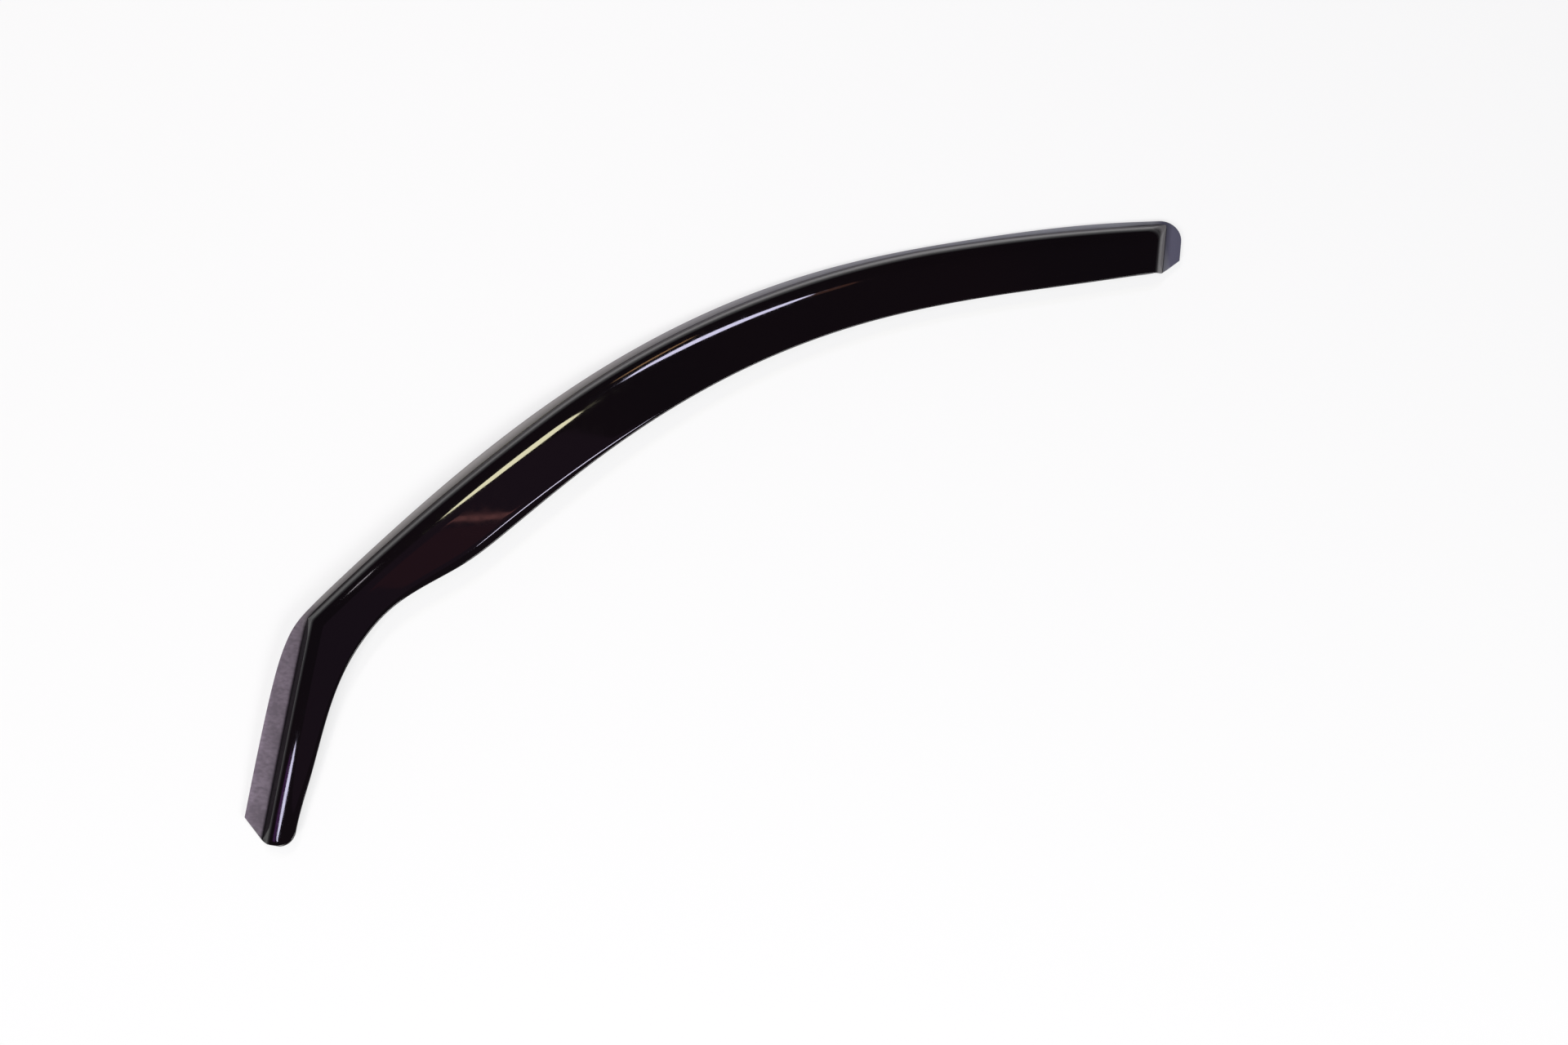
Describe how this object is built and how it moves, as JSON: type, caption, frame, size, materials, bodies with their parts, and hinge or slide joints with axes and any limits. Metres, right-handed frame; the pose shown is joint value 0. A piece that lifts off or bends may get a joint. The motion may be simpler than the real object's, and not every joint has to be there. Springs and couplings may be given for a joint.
{
  "type": "window rain deflector",
  "caption": "Curved strip of smoked acrylic that fits over a car's front door window, with a thin flange for the window channel and a raised face that keeps rain out.",
  "frame": {"origin": "on the floor under the middle of its box, as it lies face up", "axes": "+X to the rear of the car along the roof line, +Y up the window when fitted, +Z out from the door glass"},
  "size_m": [0.9152, 0.49, 0.0237],
  "materials": {
    "smoked_acrylic": "polished face, matt flange"
  },
  "bodies": {
    "root": {"rain_deflector": "smoked_acrylic"}
  },
  "joints": []
}
